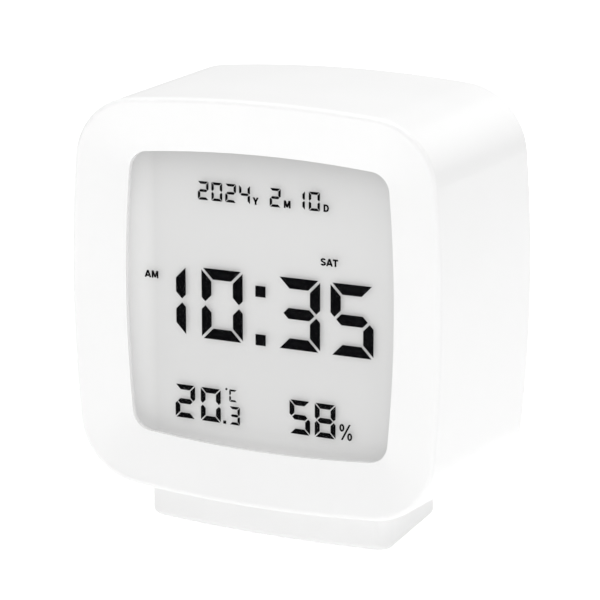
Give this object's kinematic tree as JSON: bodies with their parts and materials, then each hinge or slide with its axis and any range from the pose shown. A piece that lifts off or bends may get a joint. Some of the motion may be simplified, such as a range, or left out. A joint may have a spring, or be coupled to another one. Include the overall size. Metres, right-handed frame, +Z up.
{
  "type": "thermometer hygrometer clock",
  "caption": "Small white desk clock with a rounded square body and dished ring round a liquid crystal display of time, date, temperature and humidity, on a pedestal that it presses down on.",
  "frame": {"origin": "on the table under the middle of the body, halfway between the front rim and the back edge", "axes": "+X to the right of the display, +Y from the display to the back, +Z up"},
  "size_m": [0.0828, 0.0408, 0.0888],
  "materials": {
    "white_shell": "fine satin moulded white ABS",
    "white_moulding": "plain moulded white ABS",
    "clear_window": "polished clear acrylic",
    "display_glass": "thin clear float glass",
    "polariser_film": "clear neutral film",
    "cell_sealant": "cured sealant",
    "display_ink": "dark liquid crystal segments",
    "reflector_film": "pale grey transflective film",
    "guide_acrylic": "frosted clear acrylic",
    "white_film": "white reflective film",
    "grey_foam": "soft foam",
    "strip_rubber": "silicone rubber with conducting layers",
    "led_body": "white LED body",
    "circuit_board": "green solder mask",
    "screw_steel": "zinc plated",
    "plated_steel": "nickel plated",
    "black_resin": "black epoxy and nylon",
    "connector_nylon": "natural nylon",
    "cell_jacket": null,
    "sensor_case": "sensor package",
    "plunger_nylon": "switch plunger",
    "key_plastic": "satin moulded key",
    "lead_jacket": "insulated wire",
    "ribbon_film": "flat ribbon",
    "foot_rubber": "grey rubber"
  },
  "bodies": {
    "pedestal_base": {"pedestal": "white_shell", "pedestal_cover": "white_moulding", "pedestal_cover_screws": "screw_steel", "foot_pad": "foot_rubber", "pedestal_springs": "plated_steel", "retaining_washers": "plated_steel", "retaining_screws": "screw_steel", "press_plunger": "plunger_nylon"},
    "clock_body": {"front_shell": "white_shell", "display_window": "clear_window", "window_gasket": "grey_foam", "lcd_front_polariser": "polariser_film", "lcd_front_glass": "display_glass", "lcd_seal": "cell_sealant", "time_digits": "display_ink", "date_digits": "display_ink", "reading_digits": "display_ink", "display_legends": "display_ink", "lcd_rear_glass": "display_glass", "lcd_reflector": "reflector_film", "light_guide": "guide_acrylic", "light_guide_sheet": "white_film", "lcd_holder": "white_moulding", "lcd_contact_strips": "strip_rubber", "backlight_leds": "led_body", "main_board": "circuit_board", "display_screws": "screw_steel", "controller_blob": "black_resin", "crystal_can": "plated_steel", "board_components": "black_resin", "board_connectors": "connector_nylon", "back_cover": "white_shell", "case_screws": "screw_steel", "battery_cells": "cell_jacket", "battery_terminals": "plated_steel", "battery_contact_springs": "plated_steel", "key_board": "circuit_board", "key_board_screws": "screw_steel", "key_switches": "black_resin", "climate_sensor": "sensor_case", "buzzer": "black_resin", "press_switch": "black_resin", "press_board": "circuit_board", "press_board_screws": "screw_steel", "battery_leads": "lead_jacket", "key_ribbon": "ribbon_film", "buzzer_leads": "lead_jacket", "press_leads": "lead_jacket"},
    "battery_door": {"battery_door": "white_shell"},
    "mode_key": {"mode_key": "key_plastic", "mode_key_plunger": "plunger_nylon"},
    "up_key": {"up_key": "key_plastic", "up_key_plunger": "plunger_nylon"},
    "down_key": {"down_key": "key_plastic", "down_key_plunger": "plunger_nylon"},
    "alarm_key": {"alarm_key": "key_plastic", "alarm_key_plunger": "plunger_nylon"}
  },
  "joints": [
    {"name": "body_press", "type": "slide", "parent": "pedestal_base", "child": "clock_body", "axis": [0, 0, -1], "range_m": [0, 0.0008], "stiffness_N_per_m": 1500, "springref_m": -0.0018, "deforming": ["pedestal_springs"]},
    {"name": "battery_door_hinge", "type": "hinge", "parent": "clock_body", "child": "battery_door", "pos_m": [0, 0.01938, 0.01775], "axis": [-1, 0, 0], "range_deg": [0, 70]},
    {"name": "mode_key_press", "type": "slide", "parent": "clock_body", "child": "mode_key", "axis": [0, -1, 0], "range_m": [0, 0.0005], "stiffness_N_per_m": 1500, "springref_m": -0.0003},
    {"name": "up_key_press", "type": "slide", "parent": "clock_body", "child": "up_key", "axis": [0, -1, 0], "range_m": [0, 0.0005], "stiffness_N_per_m": 1500, "springref_m": -0.0003},
    {"name": "down_key_press", "type": "slide", "parent": "clock_body", "child": "down_key", "axis": [0, -1, 0], "range_m": [0, 0.0005], "stiffness_N_per_m": 1500, "springref_m": -0.0003},
    {"name": "alarm_key_press", "type": "slide", "parent": "clock_body", "child": "alarm_key", "axis": [0, -1, 0], "range_m": [0, 0.0005], "stiffness_N_per_m": 1500, "springref_m": -0.0003}
  ]
}
